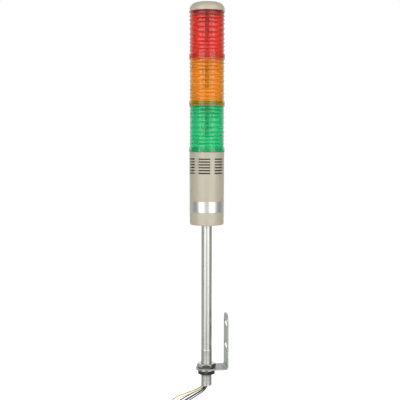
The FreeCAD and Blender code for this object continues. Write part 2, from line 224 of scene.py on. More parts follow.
def turned(name, outline, steps, bottom, offset=0.0):
    """A mesh of a closed outline of (radius, height) carried once round the mast's axis. Offset is added
    to the radius, by outline point and by angle."""
    radius = outline[:, :1] + offset + np.zeros(steps)
    points = round_mast(radius, whole_turn(steps), np.broadcast_to(outline[:, 1:], radius.shape), bottom)
    return filled_mesh(name, points, grid_quads(len(outline), steps))


def in_head(points, bottom):
    """Points of (sideways, away from the front, height) turned with the head and set on the mast's axis."""
    turn = np.array([[math.cos(FACING), -math.sin(FACING)], [math.sin(FACING), math.cos(FACING)]])
    points = np.asarray(points, float)
    level = points[..., :2] @ turn.T
    return np.concatenate([level, points[..., 2:]], axis=-1) + AXIS + np.array([0, 0, bottom])


BLOCK_CORNERS = np.array([[0, 0, 0], [1, 0, 0], [1, 1, 0], [0, 1, 0],
                          [0, 0, 1], [1, 0, 1], [1, 1, 1], [0, 1, 1]])
BLOCK_FACES = np.array([[0, 3, 2, 1], [4, 5, 6, 7], [0, 1, 5, 4], [1, 2, 6, 5], [2, 3, 7, 6], [3, 0, 4, 7]])


def block(low, high):
    """Points and faces of a block between its lowest and its highest corner."""
    low, high = np.array(low, float), np.array(high, float)
    return low + BLOCK_CORNERS * (high - low), BLOCK_FACES


def joined(*shapes):
    """Several (points, faces) as one."""
    starts = np.cumsum([0] + [len(points) for points, faces in shapes[:-1]])
    return (np.concatenate([points for points, faces in shapes]),
            np.concatenate([faces + start for (points, faces), start in zip(shapes, starts)]))


# ---- pieces ----
class StackLightOperator(bpy.types.Operator):
    """One step of the build"""
    bl_options = {"REGISTER", "UNDO"}


def new_object(name, data):
    """An object in the scene's own collection."""
    made = bpy.data.objects.new(name, data)
    bpy.context.scene.collection.objects.link(made)
    return made


def add_piece(name, mesh, material, body="mast", stands_for=()):
    """Puts a mesh in the scene as a piece that rides a body and takes a slot's finish."""
    piece = new_object(name, mesh)
    mesh.materials.append(material)
    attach(piece, body)
    if stands_for:
        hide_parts(*stands_for)
    return piece


def roll_edges(piece, width):
    """Rolls the sharp edges over and keeps the flat faces flat."""
    bevel = piece.modifiers.new("rolled edges", "BEVEL")
    bevel.width = width
    bevel.segments = 2
    bevel.limit_method = "ANGLE"
    bevel.angle_limit = math.radians(35)
    bevel.use_clamp_overlap = True
    flat_faces(piece)


def flat_faces(piece):
    """Lets a large face set the shading along its small neighbours."""
    weighted = piece.modifiers.new("flat faces", "WEIGHTED_NORMAL")
    weighted.weight = 50
    weighted.keep_sharp = False


def dressed(name, node, material, width, body="mast"):
    """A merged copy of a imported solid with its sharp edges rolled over."""
    work = bmesh.new()
    work.from_mesh(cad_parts[node].data)
    bmesh.ops.remove_doubles(work, verts=work.verts, dist=DOUBLED)
    bmesh.ops.dissolve_limit(work, angle_limit=math.radians(0.4), verts=work.verts, edges=work.edges)
    mesh = finished(bpy.data.meshes.new(name), work)
    roll_edges(add_piece(name, mesh, material, body, (node,)), width)


# ---- materials ----
MIX_FACTOR, MIX_LOW, MIX_HIGH, MIX_RESULT = 0, 6, 7, 2    # a Mix node's sockets when it mixes colours


def add_node(tree, kind, settings=None):
    """Adds one node. Settings are its properties, and its inputs' values or sources by name or number."""
    node = tree.nodes.new(kind)
    for name, value in (settings or {}).items():
        if isinstance(name, str) and hasattr(node, name):
            setattr(node, name, value)
        elif isinstance(value, bpy.types.NodeSocket):
            tree.links.new(value, node.inputs[name])
        else:
            node.inputs[name].default_value = value
    return node


def empty_tree(owner):
    """The node tree of a material or a world, with nothing in it."""
    owner.use_nodes = True
    owner.node_tree.nodes.clear()
    return owner.node_tree


def new_material(name, shader_settings):
    """A material, its tree, its shader, and the place of each point in the piece's own space."""
    material = bpy.data.materials.new(name)
    tree = empty_tree(material)
    shader = add_node(tree, "ShaderNodeBsdfPrincipled", shader_settings)
    add_node(tree, "ShaderNodeOutputMaterial", {"Surface": shader.outputs["BSDF"]})
    return material, tree, shader, add_node(tree, "ShaderNodeTexCoord").outputs["Object"]


def shades(tree, factor, tones, base):
    """A colour that runs from base times the first tone to base times the second as a factor goes 0 to 1."""
    low, high = ((*(min(1, tone * c) for c in base[:3]), 1) for tone in tones)
    return add_node(tree, "ShaderNodeMix", {"data_type": "RGBA", MIX_FACTOR: factor, MIX_LOW: low,
                                            MIX_HIGH: high}).outputs[MIX_RESULT]


def noise(tree, place, size, detail=3.0, scale=(1, 1, 1)):
    """Noise whose grain is a size in metres. A scale under 1 draws it out along that axis."""
    mapped = add_node(tree, "ShaderNodeMapping", {"Scale": scale, "Vector": place}).outputs["Vector"]
    return add_node(tree, "ShaderNodeTexNoise", {"Scale": 1 / size, "Detail": detail,
                                                 "Vector": mapped}).outputs["Fac"]


def along(tree, vector, axis):
    """One of a vector's parts."""
    return add_node(tree, "ShaderNodeSeparateXYZ", {"Vector": vector}).outputs[axis]


def weave(tree, place, size):
    """A chequer for woven threads a size apart."""
    return add_node(tree, "ShaderNodeTexChecker", {"Scale": 1 / size, "Vector": place}).outputs["Fac"]


def between(tree, factor, levels, reach=(0.0, 1.0)):
    """A number that runs from the first level to the second while a factor crosses its reach."""
    return add_node(tree, "ShaderNodeMapRange", {
        "Value": factor, "From Min": reach[0], "From Max": reach[1],
        "To Min": levels[0], "To Max": levels[1]}).outputs["Result"]


def worked_out(tree, operation, *values):
    """The result of a Math node."""
    return add_node(tree, "ShaderNodeMath", {"operation": operation, **dict(enumerate(values))}).outputs[0]


def vary(tree, shader, base, tone_pattern, tones, gloss_pattern, roughness):
    """Lets one pattern run the base colour between two tones, and one the roughness between two levels."""
    tree.links.new(shades(tree, tone_pattern, tones, base), shader.inputs["Base Color"])
    tree.links.new(between(tree, gloss_pattern, roughness), shader.inputs["Roughness"])


def bumps(tree, shader, height, distance, strength=1.0):
    bump = add_node(tree, "ShaderNodeBump", {"Distance": distance, "Strength": strength, "Height": height})
    tree.links.new(bump.outputs["Normal"], shader.inputs["Normal"])


def patterned(name, base, settings, tones, roughness, grain, bump=None, pattern=noise):
    """A material whose colour and roughness follow one pattern of a (size, detail, scale) grain, and its
    bumps too where they have a (distance, strength)."""
    material, tree, shader, place = new_material(name, settings)
    factor = pattern(tree, place, *grain)
    vary(tree, shader, base, factor, tones, factor, roughness)
    if bump:
        bumps(tree, shader, factor, *bump)
    return material


def moulded_abs(name, base):
    """ABS, injection moulded: satin, with a fine eroded grain and a slight cloudiness. The grain of
    0.15 mm is drawn at 0.5 mm, as coarse as it needs to show."""
    material, tree, shader, place = new_material(name, {"IOR": 1.54, "Roughness": 0.38})
    cloud = noise(tree, place, 14 * MM)
    grain = noise(tree, place, 0.5 * MM, 2)
    vary(tree, shader, base, cloud, (0.96, 1.03), grain, (0.3, 0.46))
    bumps(tree, shader, grain, 0.02 * MM)
    return material


def tinted_acrylic(name, base):
    """Clear acrylic tinted in the melt, injection moulded and glossy: light goes through the wall and
    takes its colour there, so the board and the LEDs inside show through it. The index is a little under
    acrylic's 1.49, which keeps the ribs and the rims from going dark."""
    return patterned(name, base, {"IOR": 1.44, "Transmission Weight": 0.93, "Roughness": 0.06},
                     (0.96, 1.03), (0.04, 0.1), (9 * MM, 2, (1, 1, 0.25)))


def moulded_polystyrene(name, base):
    """White polystyrene, injection moulded: opaque, with a soft gloss."""
    return patterned(name, base, {"IOR": 1.59, "Roughness": 0.45}, (0.95, 1.0), (0.38, 0.5), (6 * MM,))


def solder_mask(name, base):
    """White solder mask screened on glass laminate: even and slightly glossy, with the weave of the
    glass, 0.5 mm, just showing through."""
    return patterned(name, base, {"IOR": 1.5, "Roughness": 0.4}, (0.93, 1.0), (0.36, 0.42), (0.5 * MM,),
                     pattern=weave)


def drawn_steel(name, base):
    """Stainless steel tube, drawn and polished: long faint draw lines, 0.2 mm apart, give a soft sheen
    along the tube. They are drawn 0.6 mm apart, so that they show."""
    return patterned(name, base, {"Metallic": 1.0, "Roughness": 0.25}, (0.9, 1.04), (0.32, 0.46),
                     (0.6 * MM, 2, (1, 1, 0.012)), (0.01 * MM, 0.6))


def nickel_plate(name, base):
    """Steel hexagon bar turned to nuts and nickel plated, with a trace of the tool. The colour is painted
    darker as a face turns upright, so the flats carry painted shade and the faces that point up or down keep
    the full colour."""
    material, tree, shader, place = new_material(name, {"Metallic": 1.0, "Roughness": 0.2})
    marks = noise(tree, place, 1.2 * MM, 3, (1, 1, 6))
    facing = add_node(tree, "ShaderNodeNewGeometry").outputs["True Normal"]
    up_or_down_share = worked_out(tree, "ABSOLUTE", along(tree, facing, "Z"))
    # painted shade: upright flats get 0.54 of the colour, faces pointing up or down all of it
    painted_flat_shade = shades(tree, up_or_down_share, (0.54, 1.0), base)
    marked = add_node(tree, "ShaderNodeMix", {
        "data_type": "RGBA", "blend_type": "MULTIPLY", MIX_FACTOR: 1.0, MIX_LOW: painted_flat_shade,
        MIX_HIGH: shades(tree, marks, (0.88, 1.0), (1, 1, 1))})
    tree.links.new(marked.outputs[MIX_RESULT], shader.inputs["Base Color"])
    tree.links.new(between(tree, marks, (0.14, 0.28)), shader.inputs["Roughness"])
    bumps(tree, shader, marks, 0.012 * MM, 0.5)
    return material


def zinc_plate(name, base):
    """Pressed steel strap, zinc plated and passivated: satin grey with a faint rolling grain along the
    strap and cloudy patches of passivate."""
    material, tree, shader, place = new_material(name, {"Metallic": 1.0, "Roughness": 0.42})
    patches = noise(tree, place, 8 * MM, 4)
    rolling = noise(tree, place, 0.7 * MM, 2, (1, 0.05, 1))
    vary(tree, shader, base, patches, (0.9, 1.05), patches, (0.36, 0.5))
    bumps(tree, shader, rolling, 0.01 * MM, 0.6)
    return material


def satin_foil(name, base):
    """Aluminium foil label, rolled and satin lacquered: bright, with level streaks from the rolls."""
    return patterned(name, base, {"Metallic": 0.85, "Roughness": 0.4}, (0.93, 1.03), (0.28, 0.4),
                     (0.6 * MM, 2, (0.05, 0.05, 1)), (0.008 * MM, 0.5))


def extruded_vinyl(name, base):
    """Plasticised PVC extruded over the wire: soft gloss, with slight waves in its skin."""
    return patterned(name, base, {"IOR": 1.53, "Roughness": 0.36}, (0.9, 1.06), (0.3, 0.46), (2.2 * MM,),
                     (0.03 * MM, 0.5))


def moulded_nylon(name, base):
    """Nylon, injection moulded: waxy, between satin and gloss."""
    return patterned(name, base, {"IOR": 1.53, "Roughness": 0.42}, (0.85, 1.1), (0.36, 0.5), (1.5 * MM,))


def woven_gauze(name, base):
    """Black nylon gauze against dust, woven: matte, its threads 0.4 mm apart drawn at 0.8 mm, as coarse
    as they need to show."""
    return patterned(name, base, {"IOR": 1.53, "Roughness": 0.8}, (0.7, 1.3), (0.7, 0.85), (0.8 * MM,),
                     pattern=weave)


def cast_epoxy(name, base):
    """Clear epoxy cast over an LED chip: glossy, the dark lead frame showing through."""
    return patterned(name, base, {"IOR": 1.52, "Roughness": 0.12}, (0.85, 1.1), (0.1, 0.2), (1.8 * MM, 1))


def tinned_copper(name, base):
    """Copper, tinned by dipping: soft silver with a slightly uneven skin."""
    return patterned(name, base, {"Metallic": 1.0, "Roughness": 0.3}, (0.85, 1.05), (0.25, 0.42), (0.8 * MM,))


# ---- leads ----
# Each wire's route in millimetres, as (sideways, away from the front, height) from the middle of the
# mast's lower end, to where it turns down to the coil.
WIRE_ROUTES = {
    "yellow_wire": [(-1.8, 1, 10), (-1.8, 1, 4.6), (-7.6, 1.1, -3.6), (-25, 2.2, -11.4), (-47, 3.8, -19.8),
                    (-62, 4.75, -38)],
    "white_wire": [(-1.1, -1, 10), (-1.1, -1, 4.3), (-6.6, -1, -4.2), (-22.8, -1, -12), (-44.5, -1, -21.4),
                   (-62, -0.95, -40)],
    "red_wire": [(0.2, 1, 10), (0.2, 1, 4), (-5, 1.1, -5), (-19, 1.7, -12.2), (-38.4, 2.5, -23.4),
                 (-62, 2.85, -40.6)],
    "black_wire": [(0.9, -1, 10), (0.9, -1, 3.7), (-3.9, -1.1, -5.8), (-16.8, -1.8, -13.2),
                   (-35.8, -2.6, -24.6), (-62, -2.85, -41.4)],
    "grey_wire": [(2.2, 1, 10), (2.2, 1, 3.4), (-2.4, 1, -6.4), (-14.6, 1, -13.8), (-33.6, 1, -25.6),
                  (-62, 0.95, -41.6)],
    "green_wire": [(2.9, -1, 10), (2.9, -1, 3.1), (-1.4, -1.4, -7.2), (-13.2, -2.6, -14.6),
                   (-33.6, -4.1, -27.2), (-62, -4.75, -42)],
}
COIL_SIDE = 0.062                    # mast axis to where the wires run down into the coil
COIL_DROP = 0.072                    # mast end to the coil's middle
COIL_APPROACH = (0.058, 0.066)       # mast end to the points on the way down
COIL_RADIUS = 0.0153                 # centre line of the outermost turn
COIL_TURNS = 4.6
POINTS_PER_TURN = 16
TIP_LENGTH = 3.5 * MM
TIP_OVERLAP = 0.3 * MM               # strands that reach back into the insulation
TIP_RADIUS = 0.45 * MM
TIP_BEND = 0.25                      # towards the coil's middle, as a share of the way ahead
STRANDS = 7


def coil_points(away):
    """The spare wire's turns in one upright plane: at angle a the radius is the outer radius less the
    pitch for each whole turn, and a starts at the side where the wire comes down."""
    angle = np.arange(1, round(COIL_TURNS * POINTS_PER_TURN)) * 2 * math.pi / POINTS_PER_TURN
    radius = COIL_RADIUS - sizes().coil_pitch * angle / (2 * math.pi)
    sideways = COIL_RADIUS - COIL_SIDE - radius * np.cos(angle)
    return np.stack([sideways, np.full(len(angle), away), -COIL_DROP - radius * np.sin(angle)], axis=-1)


def wire_curve(name, points, radius, material):
    """A round wire along one smooth line."""
    curve = bpy.data.curves.new(name, "CURVE")
    curve.dimensions = "3D"
    curve.bevel_depth = radius
    curve.bevel_resolution = 4
    curve.use_fill_caps = True
    curve.resolution_u = 6
    line = curve.splines.new("NURBS")
    line.points.add(len(points) - 1)
    line.points.foreach_set("co", np.hstack([points, np.ones((len(points), 1))]).ravel())
    line.order_u = 3
    line.use_endpoint_u = True
    curve.materials.append(material)
    piece = new_object(name, curve)
    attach(piece, "mast")
    return piece


def unit(vector):
    return vector / np.linalg.norm(vector)


def stripped_end(name, start, along):
    """Twisted strands: at a length s from the insulation and angle a the radius is tip_radius times
    1 + 0.1 cos(strands a + 2 s / tip_radius), drawn in over the last tenth."""
    steps = 8 * STRANDS
    s = np.linspace(-TIP_OVERLAP, TIP_LENGTH, 16)[:, None]
    angle = whole_turn(steps)
    taper = np.clip((TIP_LENGTH - s) / (0.1 * TIP_LENGTH), 0, 1) ** 0.5
    radius = TIP_RADIUS * taper * (1 + 0.1 * np.cos(STRANDS * angle + 2 * s / TIP_RADIUS))
    along = unit(along)
    side = unit(np.cross(along, (0, 0, 1)))
    above = np.cross(side, along)
    ring = np.cos(angle)[None, :, None] * side + np.sin(angle)[None, :, None] * above
    points = start + s[:, :, None] * along + radius[:, :, None] * ring
    mesh = filled_mesh(name, points.reshape(-1, 3), grid_quads(len(s), steps, wrap_rows=False))
    work = bmesh.new()
    work.from_mesh(mesh)
    bmesh.ops.holes_fill(work, edges=work.edges)
    bmesh.ops.recalc_face_normals(work, faces=work.faces)
    work.to_mesh(mesh)
    work.free()
    return mesh


class STACKLIGHT_OT_leads(StackLightOperator):
    """Six thin wires out of the mast's end, their spare length coiled and tied"""
    bl_idname = "stacklight.leads"
    bl_label = "Leads"

    def execute(self, context):
        diameter = sizes().wire_diameter
        tin = tinned_copper("tinned_strands", linear("C4C2BC"))
        for name, route in WIRE_ROUTES.items():
            material = extruded_vinyl(name + "_vinyl", getattr(colours(), name))
            path = MM * np.array(route)
            away = path[-1, 1]
            down = [(-COIL_SIDE, away, -drop) for drop in COIL_APPROACH]
            points = in_head(np.concatenate([path, down, coil_points(away)]), MAST_END)
            wire = wire_curve(name + "_lead", points, diameter / 2, material)
            nodes = (name, "wire_coil") if name == "grey_wire" else (name,)
            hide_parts(*nodes)
            centre = in_head([COIL_RADIUS - COIL_SIDE, away, -COIL_DROP], MAST_END)
            ahead = unit(points[-1] - points[-2]) + TIP_BEND * unit(centre - points[-1])
            end = stripped_end(name + "_stripped_end", points[-1], ahead)
            tip = add_piece(end.name, end, tin)
        return {"FINISHED"}


# ---- lenses ----
SKIRT_HEIGHT = 6.7 * MM
SKIRT_LAND = 0.6 * MM                # plain wall between the skirt and its rib's tip
MOUTH_CHAMFER = 1 * MM               # inside the skirt's lower edge
MIDDLE_PITCH = 7.15 * MM             # the three wide grooves at the lamp's middle
LOWER_GROOVES, MIDDLE_GROOVES, UPPER_GROOVES = 4, 3, 3
TOP_LAND = 0.95 * MM
LENS_WALL = 2.05 * MM
SPIGOT_RADIUS = 23.3 * MM
SOCKET_RADIUS = 23.4 * MM
SPIGOT_WALL = 1.6 * MM
SPIGOT_ROOT = 2 * MM                 # how far the spigot's bore goes down into the lamp
SOCKET_DEPTH = 7.6 * MM
FLUTE_MARGIN = 3 * MM                # plain wall above and below the flutes
FLUTE_ROWS = 7
POINTS_PER_FLUTE = 4


def rib_heights():
    """Heights of the rib tips above the skirt's lower edge."""
    spare = MODULE_HEIGHT - TOP_LAND - SKIRT_HEIGHT - MIDDLE_GROOVES * MIDDLE_PITCH
    outer_pitch = spare / (LOWER_GROOVES + UPPER_GROOVES)
    pitches = np.repeat([outer_pitch, MIDDLE_PITCH, outer_pitch],
                        [LOWER_GROOVES, MIDDLE_GROOVES, UPPER_GROOVES])
    return SKIRT_HEIGHT + np.concatenate([[0], np.cumsum(pitches)])


def ribbed_wall(radius, depth, samples=14):
    """The lens's outside between its first and last rib: at a height d from the nearest rib the radius is
    the rib's less depth times 1 - exp(-(d / rib_roundness)^2), a level land between two beads. The shares
    of the way up are (1 - cos(pi k / n)) / 2, so that they gather at the ribs."""
    tips = rib_heights()
    pitch = (tips[1:] - tips[:-1])[:, None]
    t = (1 - np.cos(math.pi * np.arange(samples) / samples)) / 2
    hollow = 1 - np.exp(-(np.minimum(t, 1 - t) * pitch / sizes().rib_roundness) ** 2)
    wall = np.stack([radius - depth * hollow, tips[:-1, None] + pitch * t], axis=-1).reshape(-1, 2)
    return np.vstack([wall, [[radius, tips[-1]]]])


def lens_mesh(name, radius, bottom):
    """A lens shell: skirt, ribbed wall and spigot outside, socket and upright flutes inside. The flutes
    take depth times |cos(n a / 2)| off the bore at angle a, n flutes round."""
    size = sizes()
    bore = radius - size.groove_depth - LENS_WALL
    spigot_bore = SPIGOT_RADIUS - SPIGOT_WALL
    spigot_top = MODULE_HEIGHT + SPIGOT_HEIGHT
    spigot_root = (spigot_bore, MODULE_HEIGHT - SPIGOT_ROOT)
    mouth = (SOCKET_RADIUS, MOUTH_CHAMFER)
    foot = rounded([(SOCKET_RADIUS, 0), (radius, 0), (radius, SKIRT_HEIGHT - SKIRT_LAND)],
                   (0.1 * MM, 0.25 * MM, 0))
    top = rounded([(radius, MODULE_HEIGHT), (SPIGOT_RADIUS, MODULE_HEIGHT), (SPIGOT_RADIUS, spigot_top),
                   (spigot_bore, spigot_top), spigot_root], (0.2 * MM, 0.1 * MM, 0.3 * MM, 0.3 * MM, 0))
    inside = np.stack([np.full(FLUTE_ROWS, bore), np.linspace(
        MODULE_HEIGHT - FLUTE_MARGIN, SOCKET_DEPTH + FLUTE_MARGIN, FLUTE_ROWS)], axis=-1)
    ledge = rounded([(bore, SOCKET_DEPTH), (SOCKET_RADIUS, SOCKET_DEPTH), mouth], (0.2 * MM, 0.2 * MM, 0))
    above = np.vstack([foot[CORNER_POINTS:], ribbed_wall(radius, size.groove_depth), top[:-CORNER_POINTS],
                       [spigot_root]])
    outline = np.vstack([above, inside, ledge[:-CORNER_POINTS], [mouth]])
    fluted = np.zeros((len(outline), 1))
    fluted[len(above):len(above) + FLUTE_ROWS] = 1
    steps = POINTS_PER_FLUTE * size.flutes
    flute = -size.flute_depth * np.abs(np.cos(size.flutes * whole_turn(steps) / 2))
    return turned(name, outline, steps, bottom, fluted * flute)


class STACKLIGHT_OT_lenses(StackLightOperator):
    """Three tinted lens shells with level ribs outside and upright flutes inside"""
    bl_idname = "stacklight.lenses"
    bl_label = "Lenses"

    def execute(self, context):
        for tier in TIERS:
            node = tier + "_lens"
            material = tinted_acrylic(tier + "_acrylic", getattr(colours(), node))
            mesh = lens_mesh(tier + "_lens_shell", half_width(node), lowest(node).z)
            piece = add_piece(mesh.name, mesh, material, stands_for=(node,))
            flat_faces(piece)
        return {"FINISHED"}


# ---- lamps inside the lenses ----
BOARD_WIDTH = 17.0 * MM
BOARD_THICKNESS = 1.6 * MM
LED_SIZE = 5.0 * MM
LED_HEIGHT = 1.6 * MM
LED_PITCH = 7.0 * MM
LED_ROWS = 6
LED_RISE = 5.0 * MM                  # the first row above the carrier's post
DOME_RADIUS = 2.1 * MM
DOME_RISE = 0.5 * MM
RESISTOR_SIZE = (1.6 * MM, 0.6 * MM, 3.2 * MM)    # across, out of the board, along
RESISTOR_INSET = 2.2 * MM            # from the board's edge
PAD_SIZE = (2.0 * MM, 0.12 * MM, 1.0 * MM)
PAD_OFFSET = 1.8 * MM                # from the resistor's middle


def chip(size, middle=0.0):
    """A block of a size (across, out, along) that stands out towards -Y, its middle at a height."""
    across, out, along = size
    return block((-across / 2, -out, middle - along / 2), (across / 2, 0, middle + along / 2))


def dome(radius, rise, base, rings=5, steps=20):
    """A shallow cap that faces -Y: at a share s of the way out and angle a it is
    (radius s cos a, -rise (1 - s^2) - base, radius s sin a)."""
    share = np.linspace(0, 1, rings)[:, None]
    angle = whole_turn(steps)
    level = radius * share
    points = np.stack([level * np.cos(angle), -rise * (1 - share ** 2) - base + 0 * angle,
                       level * np.sin(angle)], axis=-1)
    return points.reshape(-1, 3), grid_quads(rings, steps, wrap_rows=False)


def on_both_faces(name, shape, places, bottom):
    """A mesh of one shape at each place on a board's front, and turned round on its back."""
    points, faces = shape
    front, faces = joined(*((points + place, faces) for place in places))
    points, faces = joined((front, faces), (front * (-1, -1, 1), faces))
    return filled_mesh(name, in_head(points, bottom), faces)


class STACKLIGHT_OT_lamps(StackLightOperator):
    """In each lens a white carrier, its upright board, and a column of LEDs on both faces"""
    bl_idname = "stacklight.lamps"
    bl_label = "Lamps"

    def execute(self, context):
        white = moulded_polystyrene("white_polystyrene", colours().white_moulding)
        mask = solder_mask("white_solder_mask", colours().board)
        ceramic = moulded_polystyrene("led_body", linear("C9C4B4"))
        solder = tinned_copper("solder", linear("C8C8C4"))
        resistor = joined(chip(RESISTOR_SIZE), chip(PAD_SIZE, -PAD_OFFSET), chip(PAD_SIZE, PAD_OFFSET))
        side = BOARD_WIDTH / 2 - RESISTOR_INSET
        front = -BOARD_THICKNESS / 2
        for tier in TIERS:
            carrier, board = tier + "_carrier", tier + "_led_board"
            bottom = lowest(tier + "_lens").z
            rows = highest(carrier).z - bottom + LED_RISE + LED_PITCH * np.arange(LED_ROWS)
            dressed(carrier + "_moulding", carrier, white, 0.3 * MM)

            points, faces = block((-BOARD_WIDTH / 2, front, lowest(board).z - bottom),
                                  (BOARD_WIDTH / 2, -front, highest(board).z - bottom))
            plate = filled_mesh(board + "_plate", in_head(points, bottom), faces)
            piece = add_piece(plate.name, plate, mask, stands_for=(board,))
            roll_edges(piece, 0.1 * MM)

            places = [(0, front, z) for z in rows]
            package = chip((LED_SIZE, LED_HEIGHT, LED_SIZE))
            leds = on_both_faces(tier + "_led_packages", package, places, bottom)
            piece = add_piece(leds.name, leds, ceramic, stands_for=(tier + "_leds",))
            roll_edges(piece, 0.15 * MM)

            cap = dome(DOME_RADIUS, DOME_RISE, LED_HEIGHT)
            domes = on_both_faces(tier + "_led_domes", cap, places, bottom)
            epoxy = cast_epoxy(tier + "_led_epoxy", getattr(colours(), tier + "_led"))
            add_piece(domes.name, domes, epoxy)

            places = [(x, front, z) for z in rows[1::2] for x in (-side, side)]
            parts = on_both_faces(tier + "_board_parts", resistor, places, bottom)
            piece = add_piece(parts.name, parts, solder)
            roll_edges(piece, 0.05 * MM)
        return {"FINISHED"}


# ---- head shells ----
class STACKLIGHT_OT_cap(StackLightOperator):
    """Moulded cap with a short rim, a rounded shoulder and a shallow crown"""
    bl_idname = "stacklight.cap"
    bl_label = "Cap"

    def execute(self, context):
        material = moulded_abs("cap_abs", colours().cap)
        dressed("cap_moulding", "top_cap", material, sizes().edge_roll)
        return {"FINISHED"}


class STACKLIGHT_OT_housings(StackLightOperator):
    """Buzzer housing with its sound slots, and the base cup below it"""
    bl_idname = "stacklight.housings"
    bl_label = "Housings"

    def execute(self, context):
        material = moulded_abs("housing_abs", colours().housing)
        for node in ("buzzer_housing", "base_housing"):
            dressed(node + "_moulding", node, material, 0.6 * sizes().edge_roll)
        return {"FINISHED"}


class STACKLIGHT_OT_label(StackLightOperator):
    """Blank foil label wrapped part of the way round the base"""
    bl_idname = "stacklight.label"
    bl_label = "Label"

    def execute(self, context):
        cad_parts["data_label"].data.materials[0] = satin_foil("aluminium_foil", colours().foil)
        return {"FINISHED"}


GAUZE_RADIUS = 22.2 * MM             # the housing's bore
GAUZE_WALL = 0.3 * MM
GAUZE_EDGE = 0.1 * MM
GAUZE_SPAN = (31 * MM, 62 * MM)      # above the housing's lower edge


class STACKLIGHT_OT_buzzer(StackLightOperator):
    """Sounder capsule on its round board, the gauze between it and the slots, and the leads up the mast"""
    bl_idname = "stacklight.buzzer"
    bl_label = "Buzzer"

    def execute(self, context):
        nylon = moulded_nylon("buzzer_nylon", linear("2A2A2B"))
        dressed("buzzer_capsule", "buzzer", nylon, 0.3 * MM)
        mask = solder_mask("buzzer_solder_mask", colours().board)
        dressed("buzzer_board_plate", "buzzer_board", mask, 0.1 * MM)
        inner = GAUZE_RADIUS - GAUZE_WALL
        low, high = GAUZE_SPAN
        outline = rounded([(inner, low), (GAUZE_RADIUS, low), (GAUZE_RADIUS, high), (inner, high)], GAUZE_EDGE)
        gauze = turned("slot_gauze", outline, TURN_STEPS, lowest("buzzer_housing").z)
        add_piece(gauze.name, gauze, woven_gauze("nylon_gauze", linear("100C0A")))
        vinyl = extruded_vinyl("inner_leads_vinyl", colours().black_wire)
        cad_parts["inner_leads"].data.materials[0] = vinyl
        return {"FINISHED"}


# ---- mast and what is on it ----
MAST_RADIUS = 7.6 * MM
MAST_BORE = 6.2 * MM                 # its radius
RIM_CHAMFER = 0.5 * MM
POINTS_PER_PITCH = 8
PLAIN_START = 4 * MM                 # a ring of points above the thread, for the shading of the wall over it
TOP_RING, BOTTOM_RING = 1 * MM, 1.5 * MM          # and near the mast's ends
NUT_APOTHEMS = {"upper_nut": 12 * MM, "lower_nut": 12 * MM, "lock_nut": 11 * MM}
NUT_BORE = 7.35 * MM                 # its radius
BORE_CHAMFER = (0.5 * MM, 0.4 * MM)  # out and down
CORNER_CUT = 0.12 * MM               # off a nut's upright edges
CONE_INSET = 0.25 * MM               # of the end's round face from the flats
CONE_ANGLE = math.radians(30)
FLAT_DEGREES = np.array([0, 1, 3, 8, 16, 24, 30, 36, 44, 52, 57, 59])    # points round one flat, from its edge
END_ROWS = np.array([0, 0.15, 0.35, 0.6, 1.0, 1.5]) * MM      # rows of points from a nut's end
UPPER_NUT_TURN = math.radians(28)    # from the head's front


def mast_mesh(name):
    """The mast with its rolled thread. At angle a and height z the thread is thread_depth times w^0.8
    below its crest, where w is (1 - cos(2 pi z / pitch - a)) / 2. It fades out over the last turn at
    both ends."""
    size = sizes()
    crest = half_width("mast_tube")
    rows = int(round(size.thread_length / size.thread_pitch * POINTS_PER_PITCH))
    climb = np.linspace(RIM_CHAMFER, size.thread_length, rows)
    thread = np.stack([np.full(rows, crest), climb], axis=-1)
    top = MAST_TOP - MAST_END
    outline = np.vstack([thread, [
        (MAST_RADIUS, size.thread_length + RIM_CHAMFER), (MAST_RADIUS, size.thread_length + PLAIN_START),
        (MAST_RADIUS, top - TOP_RING), (MAST_RADIUS, top), (MAST_BORE, top), (MAST_BORE, top - TOP_RING),
        (MAST_BORE, BOTTOM_RING), (MAST_BORE, RIM_CHAMFER), (MAST_BORE + RIM_CHAMFER, 0),
        (crest - RIM_CHAMFER, 0)]])
    height = outline[:, 1:]
    phase = height / size.thread_pitch - whole_turn(TURN_STEPS) / (2 * math.pi)
    wave = 0.5 - 0.5 * np.cos(2 * math.pi * phase)
    into = np.clip((height - RIM_CHAMFER) / size.thread_pitch, 0, 1)
    out = np.clip((size.thread_length - height) / size.thread_pitch, 0, 1)
    threaded = (np.arange(len(outline)) < rows)[:, None]
    cut = -size.thread_depth * wave ** 0.8 * into * out * threaded
    return turned(name, outline, TURN_STEPS, MAST_END, cut)


def nut_mesh(name, node, bore, turn):
    """A hexagon nut: at angle a and height z the radius is the smaller of the flats' apothem / cos(a from
    the nearest flat's middle) and a 30 degree cone from either end."""
    apothem = NUT_APOTHEMS[node]
    corner = apothem / math.cos(math.radians(30))
    angle = np.radians((FLAT_DEGREES + 60 * np.arange(6)[:, None]).ravel()) + turn
    from_flat = np.radians(np.abs(np.tile(FLAT_DEGREES, 6) - 30))
    hexagon = np.minimum(apothem / np.cos(from_flat), corner - CORNER_CUT)
    height = (highest(node) - lowest(node)).z
    z = np.concatenate([END_ROWS, height - END_ROWS[::-1]])
    end = np.minimum(z, height - z)[:, None]
    radius = np.minimum(hexagon, apothem - CONE_INSET + end / math.tan(CONE_ANGLE))
    out, down = BORE_CHAMFER
    bore_radius = np.full((1, len(angle)), bore)
    radii = np.vstack([bore_radius, bore_radius + out, radius, bore_radius + out, bore_radius])
    heights = np.concatenate([[down, 0], z, [height, height - down]])[:, None] + np.zeros(len(angle))
    return filled_mesh(name, round_mast(radii, angle, heights, lowest(node).z), grid_quads(*radii.shape))


class STACKLIGHT_OT_mast(StackLightOperator):
    """Polished steel tube with a thread rolled on its lower end"""
    bl_idname = "stacklight.mast"
    bl_label = "Mast"

    def execute(self, context):
        steel = drawn_steel("polished_steel", colours().mast)
        mesh = mast_mesh("threaded_mast")
        flat_faces(add_piece(mesh.name, mesh, steel, stands_for=("mast_tube",)))
        return {"FINISHED"}


